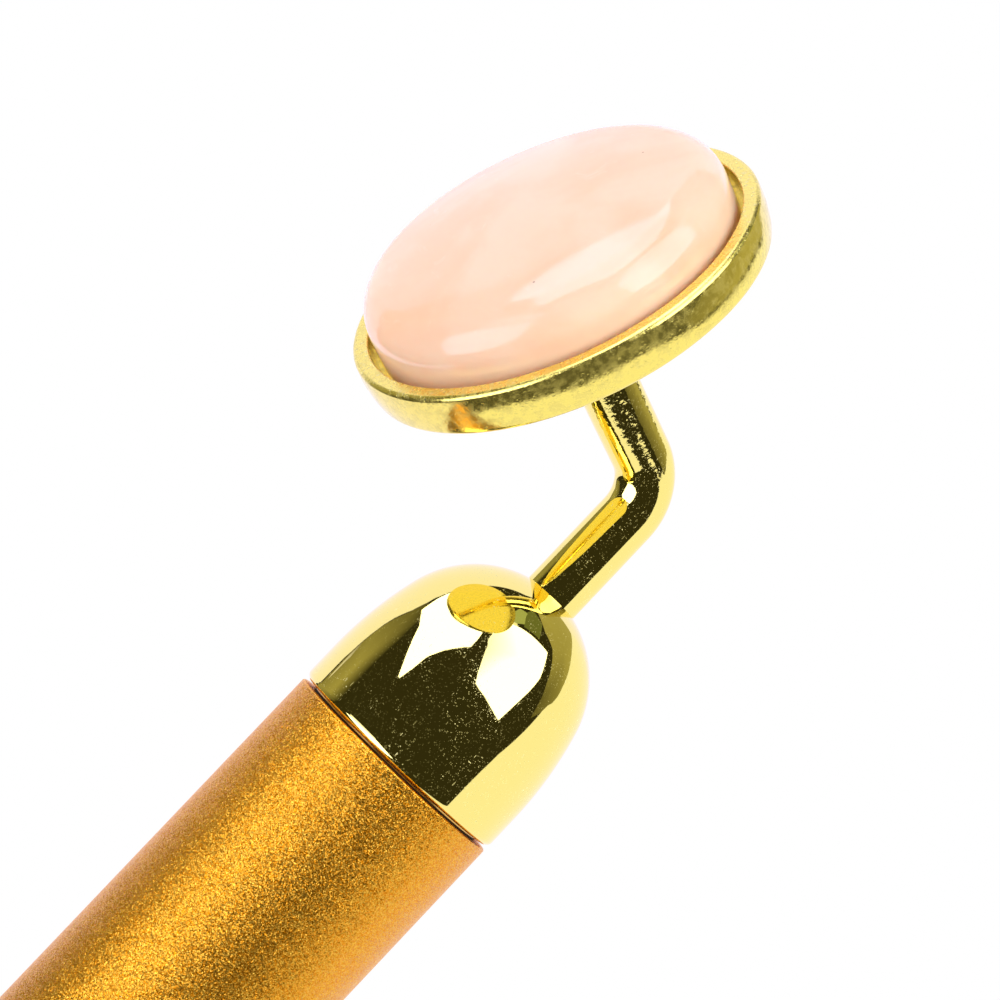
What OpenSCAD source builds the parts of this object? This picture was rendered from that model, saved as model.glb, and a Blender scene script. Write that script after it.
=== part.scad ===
// Vibrating beauty bar: a twist-on battery handle with a stone head on a bent stem.
// Every piece is drawn upright, along the handle: the tail face is at height 0, the head is up,
// and the stem leans toward +X. laid() then puts the bar down as it lies on a table, with the
// handle along +X. It rests there on its handle and on the back edge of the dish.

/* [Handle] */
// Length from the tail face to the tube's front end
handle_l = 100; // [98:1:112]
// Room between the cell and the tube
cell_room = 0.4; // [0.2:0.05:1]
// Wall of the tube
tube_wall = 1; // [0.8:0.05:2]
// Broken edge at the tube's ends
tube_edge = 0.35; // [0.1:0.05:0.45]

/* [Tail cap] */
// Height of the cap behind the tube
cap_h = 3; // [2:0.1:5]
// Rounding of the cap's rear edge
cap_edge = 1.2; // [0.4:0.1:1.8]
// Length of the plug in the tube
plug_l = 8; // [6:0.5:9]
// Wall of the plug
plug_wall = 1.2; // [0.8:0.1:2]

/* [Tail spring] */
// Mean diameter of the coil
spring_d = 10; // [8:0.5:11]
// Diameter of the wire
spring_wire = 0.9; // [0.6:0.1:1]
// Turns between the two end turns
spring_turns = 5; // [4:1:6]
// Thickness of the seat plate
seat_t = 0.4; // [0.3:0.1:0.8]

/* [AA cell] */
// Diameter over the wrap
cell_d = 14.2; // [13.8:0.1:14.3]
// Length over the nub
cell_l = 50.5; // [49.5:0.1:50.5]
// Diameter of the nub
nub_d = 5.4; // [4.5:0.1:5.5]
// Height of the nub
nub_h = 1.4; // [1:0.1:1.8]
// Wall of the steel can
can_wall = 0.25; // [0.2:0.05:0.4]
// Thickness of the wrap
wrap_t = 0.1; // [0.08:0.01:0.15]

/* [Dome] */
// Height of the dome
dome_h = 15.65; // [14.5:0.05:18]
// How far the dome stands proud of the tube
dome_proud = 0.05; // [0:0.05:0.3]
// How much smaller the crown's radius is than the skirt's
crown_less = 0.65; // [0.4:0.05:1]
// Height of the straight skirt
skirt_h = 2.8; // [1.5:0.1:4]
// Rounding of the skirt's lower edge
skirt_edge = 0.5; // [0.2:0.1:0.6]
// Wall at the crown
dome_wall = 1.3; // [1:0.1:1.6]
// Thickness of the roof under the stem
roof_t = 2.6; // [2:0.1:3]
// Gap between the dome and the tube with the head backed off
seam_gap = 0.25; // [0.1:0.05:0.4]

/* [Thread collar] */
// Length of the collar's thread and land, below the dome
collar_l = 7; // [6:0.25:9]
// Wall of the collar under its thread
collar_wall = 1.85; // [1.6:0.05:2.2]
// Length of the collar's neck in the dome
neck_l = 4.5; // [3:0.25:5]
// Step from the collar's thread to its neck
collar_step = 0.25; // [0.1:0.05:0.4]
// Clearance of the thread in the tube
thread_gap = 0.05; // [0.02:0.01:0.09]
// Thickness of the seal ring
seal_t = 1; // [0.8:0.05:1.2]
// Land between the dome and the seal ring
seal_land = 0.6; // [0.5:0.1:1]

/* [Motor] */
// How far each of the motor can's two flats is cut in
flat_cut = 1; // [0.6:0.1:1.2]
// Length of the can
motor_l = 14; // [13:0.5:16]
// Wall of the can
motor_wall = 0.5; // [0.4:0.05:0.6]
// Diameter of the shaft
shaft_d = 1.2; // [1:0.1:1.5]
// Depth of the motor's front below the tube's front end
motor_depth = 1; // [0.6:0.1:1.5]
// How much smaller the half-moon's radius is than the motor's
weight_less = 0.3; // [0:0.1:1]
// Length of the half-moon weight
weight_l = 6; // [4:0.5:8]
// Length of the armature's core
core_l = 5; // [4:0.5:5.5]

/* [Motor cup] */
// Wall of the cup around the motor
cup_wall = 0.55; // [0.5:0.05:0.6]
// Thickness of the cup's floor
cup_floor = 1.5; // [1:0.1:2]
// Height of the wire bay under the motor
bay_h = 4.5; // [4.2:0.1:5.5]
// How far the contact stud stands out
stud_h = 0.8; // [0.5:0.1:1.2]
// Diameter of the contact stud's head
stud_d = 4.8; // [4:0.1:6]

/* [Stem] */
// Diameter of the stem
stem_d = 4.2; // [3.6:0.1:5]
// Straight run from the dome to the bend
stem_rise = 7.3; // [3:0.1:14]
// Bend radius at the stem's middle
bend_r = 3.9; // [3:0.1:8]
// Angle of the bend
bend = 75.5; // [60:0.5:90]
// Straight run from the bend to the dish
stem_reach = 12.5; // [6:0.1:20]
// Diameter of the stem's two tenons
tenon_d = 3; // [2:0.1:3.2]
// Depth of the stem's seat in the crown
stem_seat = 0.6; // [0.6:0.1:1]
// Width over the nut's flats
nut_flats = 5.5; // [5:0.1:6.5]
// Thickness of the nut
nut_t = 1.8; // [1.4:0.1:2.2]

/* [Dish] */
// Diameter of the rim
dish_d = 28.9; // [26:0.1:34]
// Height of the dish
dish_h = 3.15; // [2.8:0.05:4]
// Width of the rim
rim_w = 1.2; // [0.8:0.1:1.6]
// How much smaller the back is than the rim, per side
draft = 0.25; // [0.1:0.05:0.8]
// Rounding of the rim's outer edge
rim_edge = 0.35; // [0.2:0.05:0.5]
// Rounding of the back edge
back_edge = 0.6; // [0.3:0.05:1.2]
// Thickness of the floor
floor_t = 1.2; // [1:0.1:1.6]

/* [Stone] */
// Gap between the stone and the rim
stone_gap = 0.55; // [0.2:0.05:1]
// Height of the stone above the rim
stone_h = 4.9; // [4.5:0.1:7]
// Height above the rim at which the stone starts to round over
girdle_h = 1.1; // [0.6:0.1:1.4]
// Radius of the stone's shoulder
shoulder_r = 2.6; // [1.5:0.1:3]
// Thickness of the adhesive pad
pad_t = 0.3; // [0.2:0.1:0.6]

/* [Hidden] */
$fn = 96;

// Clearances: a piece seated in its own assembly, a shaft that runs, a loose piece, and how far
// a cut goes past a face
snug = 0.02;
running = 0.04;
slack = 0.3;
past = 1;

// Handle and tail
bore_r = cell_d / 2 + cell_room;
tube_r = bore_r + tube_wall;
bore_edge = 0.2;
plug_top = cap_h + plug_l;
seat_r = bore_r - slack;
eyelet_h = 1.2;
eyelet_t = 0.5;
eyelet_r = spring_d / 2 - spring_wire / 2 - slack;

// Head, measured up from the tube's front end
dome_z = handle_l + seam_gap;
dome_r = tube_r + dome_proud;
crown_r = dome_r - crown_less;
crown_z = dome_h - crown_r;
side_rise = crown_z - skirt_h;
side_r = (dome_r * dome_r + side_rise * side_rise - crown_r * crown_r) / (2 * (dome_r - crown_r));
tangent_z = crown_z + crown_r * side_rise / (side_r - crown_r);
roof_z = dome_h - roof_t;
seat_z = dome_h - stem_seat;

// Collar, cup and motor nest in each other, from the bore inward
collar_r = bore_r - thread_gap;
collar_bore_r = collar_r - collar_wall;
cup_neck_r = collar_bore_r - snug;
pocket_r = cup_neck_r - cup_wall;
motor_r = pocket_r - snug;
motor_flat = 2 * (motor_r - flat_cut);
motor_front = handle_l - motor_depth;
motor_rear = motor_front - motor_l;
neck_r = collar_r - collar_step;
dome_bore_r = neck_r + snug;
collar_foot = dome_z - collar_l;
cup_lip = 0.5;
cup_top = motor_front - cup_lip;
bay_floor = motor_rear - bay_h;
cup_foot = bay_floor - cup_floor;
cup_r = bore_r - slack;
motor_ledge = 1;
bay_r = pocket_r - motor_ledge;
stud_foot = cup_foot - stud_h;
stud_edge = 0.4;
stud_shank_r = 1;
rivet_r = 1.7;
rivet_t = 0.5;

// The cell stands under the stud, and the spring fills what is left
cell_top = stud_foot;
cell_foot = cell_top - cell_l;
can_r = cell_d / 2 - wrap_t - snug;
can_inner_r = can_r - can_wall;
seal_show = 1.1;
base_r = can_inner_r - seal_show;
base_t = 0.5;
nail_r = 0.7;
nail_l = 28;
spring_foot = plug_top + seat_t;
spring_l = cell_foot - spring_foot;

// The spring's middle line: a helix whose two end turns lie close together
turn_steps = 16;
wire_sides = 6;
end_gap = 0.5;
end_pitch = spring_wire + end_gap;
all_turns = spring_turns + 2;
rings = all_turns * turn_steps;
spring_run = spring_l - spring_wire - 2 * snug;
mid_pitch = (spring_run - 2 * end_pitch) / spring_turns;
function wire_rise(turn) =
    turn < 1 ? turn * end_pitch :
    turn > all_turns - 1 ? spring_run - (all_turns - turn) * end_pitch :
    end_pitch + (turn - 1) * mid_pitch;
function wire_ring(i, r, lift) = let (a = 360 * i / turn_steps)
    [r * cos(a), r * sin(a), wire_rise(i / turn_steps) + lift];
wire_line = [for (i = [0 : rings]) wire_ring(i, spring_d / 2, 0)];
wire_skin = [for (i = [0 : rings], j = [0 : wire_sides - 1]) let (b = 360 * j / wire_sides)
    wire_ring(i, spring_d / 2 + spring_wire / 2 * cos(b), spring_wire / 2 * sin(b))];
wire_sleeve = [for (i = [0 : rings - 1], j = [0 : wire_sides - 1])
    let (here = i * wire_sides, next = here + wire_sides, k = (j + 1) % wire_sides)
    each [[here + j, next + j, next + k], [here + j, next + k, here + k]]];
wire_faces = concat(wire_sleeve, [[for (j = [0 : wire_sides - 1]) j]],
    [[for (j = [wire_sides - 1 : -1 : 0]) rings * wire_sides + j]]);
turn_gaps = [for (i = [0 : rings], j = [i + turn_steps / 2 : rings])
    norm(wire_line[j] - wire_line[i]) - spring_wire];
echo(least_gap_between_turns = min(turn_gaps));

// Motor details
boss_r = 2;
boss_h = 0.8;
bearing_r = 1.4;
end_cap_t = 2.4;
end_wall = 0.6;
end_play = 0.2;
tab_x = 3;
tab_t = 0.3;
tab_w = 1.6;
tab_out = 2;
magnet_r = motor_r - motor_wall - snug;
magnet_t = 0.9;
magnet_over = 1;
magnet_span = 96;
air_gap = 0.3;
core_r = magnet_r - magnet_t - air_gap;
hub_r = 1.3;
shoe_t = 0.5;
shoe_span = 92;
web_w = 0.9;
coil_w = 2.2;
coil_over = 0.8;
coil_gap = 0.2;
commutator_r = 1.2;
commutator_l = 2.4;
commutator_foot = motor_rear + end_cap_t + coil_gap;
core_foot = commutator_foot + commutator_l + coil_gap + coil_over;
weight_gap = 1;
weight_hub = 1;
weight_r = motor_r - weight_less;
weight_foot = motor_front + boss_h + weight_gap;
shaft_over = 0.4;
shaft_foot = motor_rear + end_wall;
shaft_top = weight_foot + weight_l + shaft_over;
strap_w = 2;
strap_lift = 1.8;
strap_foot = bay_floor + strap_lift;
strap_sink = 0.25;
strap_x = cup_r - strap_sink;
wire_r = 0.4;
wire_bend = 1;

// Stem and dish
bend_z = dome_z + dome_h + stem_rise;
bend_swell = 0.02;
bend_lap = 0.2;
tenon_over = 0.3;
dish_r = dish_d / 2;
pad_margin = 1;
stone_r = dish_r - rim_w - stone_gap;
stone_foot = floor_t + pad_t;
stone_top = dish_h + stone_h;
girdle_z = dish_h + girdle_h;
crown_arc_a = stone_r - shoulder_r;
crown_arc_b = stone_top - girdle_z;
stone_crown_r = (crown_arc_a * crown_arc_a + crown_arc_b * crown_arc_b - shoulder_r * shoulder_r)
    / (2 * (crown_arc_b - shoulder_r));

// How far the bar rolls before the dish's back edge meets the table: the lowest point of the
// back edge, a ring of radius ring_r and thickness back_edge, comes level with the dome's skirt.
ring_r = dish_r - draft - back_edge;
ring_lean = bend_r * (1 - cos(bend)) + (stem_reach + back_edge) * sin(bend);
drop = dome_r - back_edge;
swing = ring_lean * ring_lean + ring_r * ring_r * sin(bend) * sin(bend);
roll_cos = (sqrt(ring_lean * ring_lean * drop * drop + swing * (ring_r * ring_r - drop * drop))
    - ring_lean * drop) / swing;
roll = acos(roll_cos);
// The half-moon hangs straight down when the bar lies on the table
hang = 180 + roll;

// Lays the upright bar on the table: the handle along +X and the stem leaning toward +Y
module laid() rotate([180 - roll, 0, 0]) rotate([0, 90, 0]) children();

module ring(r_out, r_in, h) {
    difference() {
        cylinder(r = r_out, h = h);
        translate([0, 0, -past]) cylinder(r = r_in, h = h + 2 * past);
    }
}

// A turned disc whose lower edge is rounded
module rounded_foot(r, h, edge) {
    rotate_extrude() {
        square([r - edge, h]);
        translate([0, edge]) square([r, h - edge]);
        intersection() {
            translate([r - edge, edge]) circle(r = edge);
            square([r, h]);
        }
    }
}

module handle_tube() {
    color("goldenrod") laid() translate([0, 0, cap_h]) rotate_extrude() polygon([
        [bore_r + bore_edge, 0],
        [tube_r - tube_edge, 0],
        [tube_r, tube_edge],
        [tube_r, handle_l - cap_h - tube_edge],
        [tube_r - tube_edge, handle_l - cap_h],
        [bore_r + bore_edge, handle_l - cap_h],
        [bore_r, handle_l - cap_h - bore_edge],
        [bore_r, bore_edge]
    ]);
}

module tail_cap() {
    color("gold") laid() {
        rounded_foot(tube_r, cap_h, cap_edge);
        translate([0, 0, cap_h]) ring(bore_r - snug, bore_r - plug_wall, plug_l);
    }
}

// A plate on the plug's end, with a drawn eyelet that centres the spring
module spring_seat() {
    color("silver") laid() translate([0, 0, plug_top]) {
        ring(seat_r, eyelet_r - eyelet_t, seat_t);
        ring(eyelet_r, eyelet_r - eyelet_t, seat_t + eyelet_h);
    }
}

// The spring's wire: its two end turns lie close, and the others share the rest of the length
module tail_spring() {
    color("silver") laid() translate([0, 0, spring_foot + spring_wire / 2 + snug])
        polyhedron(wire_skin, wire_faces);
}

// The film stops short of the can's two ends
module cell_wrap() {
    lip = 0.6;
    color("dimgray") laid() translate([0, 0, cell_foot + base_t])
        ring(cell_d / 2, can_r + snug, cell_l - nub_h - base_t - lip);
}

// The deep-drawn can is closed at the head end, where its nub stands up
module cell_can() {
    shoulder = 0.8;
    body_l = cell_l - nub_h;
    color("silver") laid() translate([0, 0, cell_foot]) difference() {
        union() {
            translate([0, 0, body_l]) mirror([0, 0, 1])
                rounded_foot(can_r, body_l - base_t, shoulder);
            translate([0, 0, body_l - past]) cylinder(d = nub_d, h = nub_h + past);
        }
        translate([0, 0, -past]) cylinder(r = can_inner_r, h = body_l - shoulder + past);
    }
}

// The filling has a hole for the base's nail, and empty space at both ends
module cell_core() {
    fill_foot = 3;
    fill_room = 2;
    color("darkslategray") laid() translate([0, 0, cell_foot]) difference() {
        translate([0, 0, fill_foot])
            cylinder(r = can_inner_r - snug, h = cell_l - nub_h - fill_foot - fill_room);
        cylinder(r = nail_r + snug, h = nail_l + slack);
    }
}

module cell_seal() {
    seal_h = 1.4;
    seal_lap = 1;
    color("ivory") laid() translate([0, 0, cell_foot + base_t])
        ring(can_inner_r - snug, base_r - seal_lap, seal_h);
}

// A plate with the nail that gathers the current from the filling
module cell_base() {
    color("silver") laid() translate([0, 0, cell_foot]) {
        cylinder(r = base_r, h = base_t);
        cylinder(r = nail_r, h = nail_l);
    }
}

// Half outline of the dome: a straight skirt, a long side arc, and a crown tangent to it, turned
// a hair smaller so that it doesn't graze the side arc
module dome_outline() {
    crown_inset = 0.005;
    translate([0, skirt_edge]) square([dome_r, skirt_h - skirt_edge]);
    square([dome_r - skirt_edge, skirt_h]);
    intersection() {
        translate([dome_r - skirt_edge, skirt_edge]) circle(r = skirt_edge);
        square([dome_r, skirt_h]);
    }
    intersection() {
        translate([dome_r - side_r, skirt_h]) circle(r = side_r, $fn = 8 * $fn);
        translate([0, skirt_h - past]) square([dome_r, tangent_z - skirt_h + past]);
    }
    intersection() {
        translate([0, crown_z]) circle(r = crown_r - crown_inset);
        translate([0, tangent_z - past]) square([dome_r, dome_h - tangent_z + 2 * past]);
    }
}

// The dome is hollow: a bore for the collar's neck, then a round cavity under a flat roof
module dome() {
    cavity_r = crown_r - dome_wall;
    color("gold") laid() translate([0, 0, dome_z]) difference() {
        rotate_extrude() dome_outline();
        translate([0, 0, -past]) cylinder(r = dome_bore_r, h = neck_l + past);
        rotate_extrude() intersection() {
            union() {
                square([cavity_r, crown_z]);
                translate([0, crown_z]) circle(r = cavity_r);
            }
            square([cavity_r, roof_z]);
        }
        translate([0, 0, seat_z]) cylinder(d = stem_d + 2 * snug, h = stem_seat + past);
        translate([0, 0, roof_z - past]) cylinder(d = tenon_d + 2 * snug, h = roof_t + past);
    }
}

// One turned ring: neck in the dome, groove for the seal, and the threaded length in the tube
module thread_collar() {
    groove_top = -seal_land;
    groove_foot = groove_top - seal_t - 2 * snug;
    groove_r = collar_r - seal_t - snug;
    tip = 0.4;
    color("darkkhaki") laid() translate([0, 0, dome_z]) rotate_extrude() polygon([
        [collar_bore_r, -collar_l],
        [collar_r - tip, -collar_l],
        [collar_r, tip - collar_l],
        [collar_r, groove_foot],
        [groove_r, groove_foot],
        [groove_r, groove_top],
        [collar_r, groove_top],
        [collar_r, 0],
        [neck_r, 0],
        [neck_r, neck_l],
        [collar_bore_r, neck_l]
    ]);
}

module seal_ring() {
    color("black") laid() translate([0, 0, dome_z - seal_land - seal_t / 2 - snug]) rotate_extrude()
        translate([collar_r - seal_t / 2, 0]) circle(d = seal_t, $fn = 32);
}

// The motor's section: round, with two flats
module motor_section(r, flat, h) {
    intersection() {
        cylinder(r = r, h = h);
        translate([-r - past, -flat / 2, 0]) cube([2 * (r + past), flat, h]);
    }
}

// The cup carries the motor. Under it is the wire bay, whose wall has a window and a groove
// outside for the ground strap.
module motor_cup() {
    slot_w = strap_w + slack;
    slot_foot = strap_foot - slack;
    groove_x = strap_x - tab_t - snug;
    color("dimgray") laid() difference() {
        union() {
            translate([0, 0, cup_foot]) cylinder(r = cup_r, h = collar_foot - snug - cup_foot);
            translate([0, 0, cup_foot]) cylinder(r = cup_neck_r, h = cup_top - cup_foot);
        }
        translate([0, 0, motor_rear]) motor_section(pocket_r, motor_flat + 2 * snug, motor_l);
        translate([0, 0, bay_floor]) cylinder(r = bay_r, h = bay_h + past);
        translate([0, 0, cup_foot - past]) cylinder(r = stud_shank_r + snug, h = cup_floor + 2 * past);
        translate([-cup_r - past, -slot_w / 2, slot_foot])
            cube([cup_r - bay_r + 2 * past, slot_w, tab_t + 2 * slack]);
        translate([-cup_r - past, -slot_w / 2, slot_foot])
            cube([cup_r + past - groove_x, slot_w, collar_foot - slot_foot]);
    }
}

module motor_can() {
    round_r = 0.8;
    inner_r = motor_r - motor_wall;
    color("silver") laid() translate([0, 0, motor_front]) mirror([0, 0, 1]) difference() {
        union() {
            intersection() {
                rounded_foot(motor_r, motor_l, round_r);
                translate([-motor_r, -motor_flat / 2, 0])
                    cube([2 * motor_r, motor_flat, motor_l]);
            }
            translate([0, 0, -boss_h]) cylinder(r = boss_r, h = boss_h + motor_wall);
        }
        translate([0, 0, motor_wall])
            motor_section(inner_r, motor_flat - 2 * motor_wall, motor_l);
        translate([0, 0, -boss_h - past]) cylinder(r = bearing_r, h = boss_h + motor_wall + 2 * past);
    }
}

module motor_magnets() {
    color("dimgray") laid() for (side = [0, 180])
        translate([0, 0, core_foot - magnet_over]) rotate([0, 0, side - magnet_span / 2])
            rotate_extrude(angle = magnet_span)
                translate([magnet_r - magnet_t, 0]) square([magnet_t, core_l + 2 * magnet_over]);
}

module motor_bearing() {
    color("peru") laid() translate([0, 0, motor_front - motor_wall])
        ring(bearing_r - snug, shaft_d / 2 + running, boss_h + motor_wall);
}

module motor_end_cap() {
    fit = motor_wall + snug;
    hole_w = tab_w + 2 * snug;
    color("black") laid() translate([0, 0, motor_rear]) difference() {
        motor_section(motor_r - fit, motor_flat - 2 * fit, end_cap_t);
        translate([0, 0, end_wall - end_play]) cylinder(r = shaft_d / 2 + running, h = end_cap_t);
        for (side = [0, 180]) rotate([0, 0, side])
            translate([tab_x - tab_t / 2 - snug, -hole_w / 2, -past])
                cube([tab_t + 2 * snug, hole_w, end_cap_t + 2 * past]);
    }
}

// Each strip is a solder tab outside and a brush arm that leans on the commutator inside
module motor_tabs() {
    rest_x = commutator_r + running;
    arm = 1.6;
    color("gold") laid() translate([0, 0, motor_rear]) for (side = [0, 180]) rotate([0, 0, side])
        translate([0, tab_w / 2, 0]) rotate([90, 0, 0]) linear_extrude(tab_w) polygon([
            [tab_x - tab_t / 2, -tab_out],
            [tab_x + tab_t / 2, -tab_out],
            [tab_x + tab_t / 2, end_cap_t + tab_t],
            [rest_x + tab_t, end_cap_t + arm],
            [rest_x, end_cap_t + arm],
            [tab_x - tab_t / 2, end_cap_t + snug]
        ]);
}

module contact_stud() {
    color("gold") laid() {
        translate([0, 0, stud_foot]) rounded_foot(stud_d / 2, stud_h - snug, stud_edge);
        translate([0, 0, cup_foot - past / 2])
            cylinder(r = stud_shank_r, h = cup_floor + past / 2 + rivet_t);
        translate([0, 0, bay_floor + snug]) cylinder(r = rivet_r, h = rivet_t - snug);
    }
}

// From the stud's rivet up and across to the inner side of one tab
module feed_wire() {
    end_x = tab_x - tab_t / 2 - wire_r - snug;
    start = [0, 0, bay_floor + rivet_t + snug];
    lift = 0.4;
    across = end_x - 2 * wire_bend;
    color("red") laid() translate(start) {
        cylinder(r = wire_r, h = lift, $fn = 24);
        translate([wire_bend, 0, lift]) rotate([90, 0, 0]) rotate([0, 0, 90])
            rotate_extrude(angle = 90) translate([wire_bend, 0]) circle(r = wire_r, $fn = 24);
        translate([wire_bend, 0, lift + wire_bend]) rotate([0, 90, 0])
            cylinder(r = wire_r, h = across, $fn = 24);
        translate([wire_bend + across, 0, lift + 2 * wire_bend]) rotate([90, 0, 0])
            rotate([0, 0, 270]) rotate_extrude(angle = 90)
                translate([wire_bend, 0]) circle(r = wire_r, $fn = 24);
    }
}

// A bent strip from the other tab, out through the cup's wall and up to the collar
module ground_strap() {
    inner_x = tab_x + tab_t / 2 + snug;
    color("silver") laid() translate([0, strap_w / 2, 0]) rotate([90, 0, 0]) linear_extrude(strap_w)
        polygon([
            [-inner_x, strap_foot + tab_out],
            [-inner_x - tab_t, strap_foot + tab_out],
            [-inner_x - tab_t, strap_foot + tab_t],
            [-strap_x + tab_t, strap_foot + tab_t],
            [-strap_x + tab_t, collar_foot - snug],
            [-strap_x, collar_foot - snug],
            [-strap_x, strap_foot],
            [-inner_x, strap_foot]
        ]);
}

// The end of the stem's bend, with the dish's direction as the new upright
module at_bend_end() {
    translate([bend_r * (1 - cos(bend)), 0, bend_z + bend_r * sin(bend)])
        rotate([0, bend, 0]) children();
}

module at_dish() at_bend_end() translate([0, 0, stem_reach]) children();

module stem() {
    shoulder_z = dome_z + seat_z;
    tenon_l = seat_z - roof_z + nut_t + tenon_over;
    color("gold") laid() {
        translate([0, 0, shoulder_z - tenon_l]) cylinder(d = tenon_d, h = tenon_l);
        translate([0, 0, shoulder_z]) cylinder(d = stem_d, h = bend_z + bend_lap - shoulder_z);
        translate([bend_r, 0, bend_z]) rotate([90, 0, 0]) mirror([1, 0, 0])
            rotate_extrude(angle = bend) translate([bend_r, 0]) circle(d = stem_d + 2 * bend_swell);
        at_bend_end() translate([0, 0, -bend_lap]) cylinder(d = stem_d, h = stem_reach + bend_lap);
        at_dish() cylinder(d = tenon_d, h = floor_t - snug);
    }
}

module stem_nut() {
    color("silver") laid() translate([0, 0, dome_z + roof_z - nut_t - snug]) difference() {
        cylinder(d = nut_flats / cos(30), h = nut_t, $fn = 6);
        translate([0, 0, -past]) cylinder(d = tenon_d + 2 * snug, h = nut_t + 2 * past);
    }
}

// Half outline of the dish: two rounded edges joined by the straight line that touches both
module dish_outline() {
    back = [dish_r - draft - back_edge, back_edge];
    rim = [dish_r - rim_edge, dish_h - rim_edge];
    span = rim - back;
    lean = atan2(span[1], span[0]) - acos((back_edge - rim_edge) / norm(span));
    side = [cos(lean), sin(lean)];
    intersection() {
        union() {
            translate(back) circle(r = back_edge);
            translate(rim) circle(r = rim_edge);
            polygon([[0, 0], [back[0], 0], back, back + back_edge * side, rim + rim_edge * side,
                     rim, [rim[0], dish_h], [0, dish_h]]);
        }
        square([dish_r, dish_h]);
    }
}

module dish() {
    color("gold") laid() at_dish() difference() {
        rotate_extrude() dish_outline();
        translate([0, 0, floor_t]) cylinder(r = dish_r - rim_w, h = dish_h);
        translate([0, 0, -past]) cylinder(d = tenon_d + 2 * snug, h = dish_h + past);
    }
}

module stone_pad() {
    color("white") laid() at_dish() translate([0, 0, floor_t + snug])
        cylinder(r = stone_r - pad_margin, h = pad_t - 2 * snug);
}

// The cabochon: a steep side, a round shoulder, and a shallow crown tangent to it
module stone() {
    foot_edge = 0.4;
    color("mistyrose") laid() at_dish() rotate_extrude() {
        polygon([[0, stone_foot], [stone_r - foot_edge, stone_foot], [stone_r, stone_foot + foot_edge],
                 [stone_r, girdle_z], [0, girdle_z]]);
        intersection() {
            translate([stone_r - shoulder_r, girdle_z]) circle(r = shoulder_r);
            translate([0, stone_foot + foot_edge]) square([stone_r, stone_top]);
        }
        intersection() {
            translate([0, stone_top - stone_crown_r]) circle(r = stone_crown_r, $fn = 4 * $fn);
            translate([0, girdle_z - past / 2]) square([crown_arc_a * stone_crown_r
                / (stone_crown_r - shoulder_r), stone_top]);
        }
    }
}

module motor_shaft() {
    color("silver") laid() translate([0, 0, shaft_foot])
        cylinder(d = shaft_d, h = shaft_top - shaft_foot);
}

// Three poles on a hub, each with a round shoe
module armature() {
    color("gray") laid() translate([0, 0, core_foot]) linear_extrude(core_l) difference() {
        union() {
            circle(r = hub_r);
            for (pole = [0, 120, 240]) rotate([0, 0, pole]) {
                translate([0, -web_w / 2]) square([core_r - shoe_t / 2, web_w]);
                intersection() {
                    difference() {
                        circle(r = core_r);
                        circle(r = core_r - shoe_t);
                    }
                    polygon([[0, 0], 2 * core_r * [cos(shoe_span / 2), sin(shoe_span / 2)],
                             2 * core_r * [cos(shoe_span / 2), -sin(shoe_span / 2)]]);
                }
            }
        }
        circle(d = shaft_d + 2 * snug);
    }
}

module windings() {
    reach = core_r - shoe_t - hub_r - 2 * coil_gap;
    color("chocolate") laid() for (pole = [0, 120, 240])
        translate([0, 0, core_foot]) rotate([0, 0, pole]) translate([hub_r + coil_gap, 0, 0])
            difference() {
                translate([0, -coil_w / 2, -coil_over]) cube([reach, coil_w, core_l + 2 * coil_over]);
                translate([-past, -web_w / 2 - snug, -snug])
                    cube([reach + 2 * past, web_w + 2 * snug, core_l + 2 * snug]);
            }
}

module commutator() {
    color("chocolate") laid() translate([0, 0, commutator_foot])
        ring(commutator_r, shaft_d / 2 + snug, commutator_l);
}

// A half-moon of heavy alloy pressed on the shaft
module eccentric_weight() {
    color("silver") laid() translate([0, 0, weight_foot]) rotate([0, 0, hang])
        linear_extrude(weight_l) difference() {
            union() {
                intersection() {
                    circle(r = weight_r);
                    translate([0, -weight_r]) square([weight_r, 2 * weight_r]);
                }
                circle(r = shaft_d / 2 + weight_hub);
            }
            circle(d = shaft_d + 2 * snug);
        }
}

handle_tube();
tail_cap();
spring_seat();
tail_spring();
cell_wrap();
cell_can();
cell_core();
cell_seal();
cell_base();
dome();
thread_collar();
seal_ring();
motor_cup();
motor_can();
motor_magnets();
motor_bearing();
motor_end_cap();
motor_tabs();
contact_stud();
feed_wire();
ground_strap();
stem();
stem_nut();
dish();
stone_pad();
stone();
motor_shaft();
armature();
windings();
commutator();
eccentric_weight();
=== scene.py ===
"""The beauty bar dressed for its picture: turned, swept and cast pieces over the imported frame."""
import math

import bpy
from mathutils import Matrix, Vector, noise


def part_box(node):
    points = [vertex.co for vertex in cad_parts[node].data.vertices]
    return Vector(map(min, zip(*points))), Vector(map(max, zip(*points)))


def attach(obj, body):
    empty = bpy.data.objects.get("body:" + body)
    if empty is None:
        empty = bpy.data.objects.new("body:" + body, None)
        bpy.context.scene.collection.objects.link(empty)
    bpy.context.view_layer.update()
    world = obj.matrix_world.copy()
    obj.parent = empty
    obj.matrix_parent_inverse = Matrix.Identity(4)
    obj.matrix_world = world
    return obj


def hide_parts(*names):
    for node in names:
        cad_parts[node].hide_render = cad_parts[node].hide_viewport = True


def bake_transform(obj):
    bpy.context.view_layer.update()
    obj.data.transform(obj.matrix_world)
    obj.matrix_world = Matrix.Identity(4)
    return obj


bl_info = {
    "name": "Vibrating beauty bar",
    "version": (1, 0, 0),
    "blender": (4, 5, 0),
    "location": "3D View > Sidebar > Beauty bar",
    "description": "Makes a beauty bar's tube, dome, stem, dish and stone, and their studio",
    "category": "Object",
}

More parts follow.
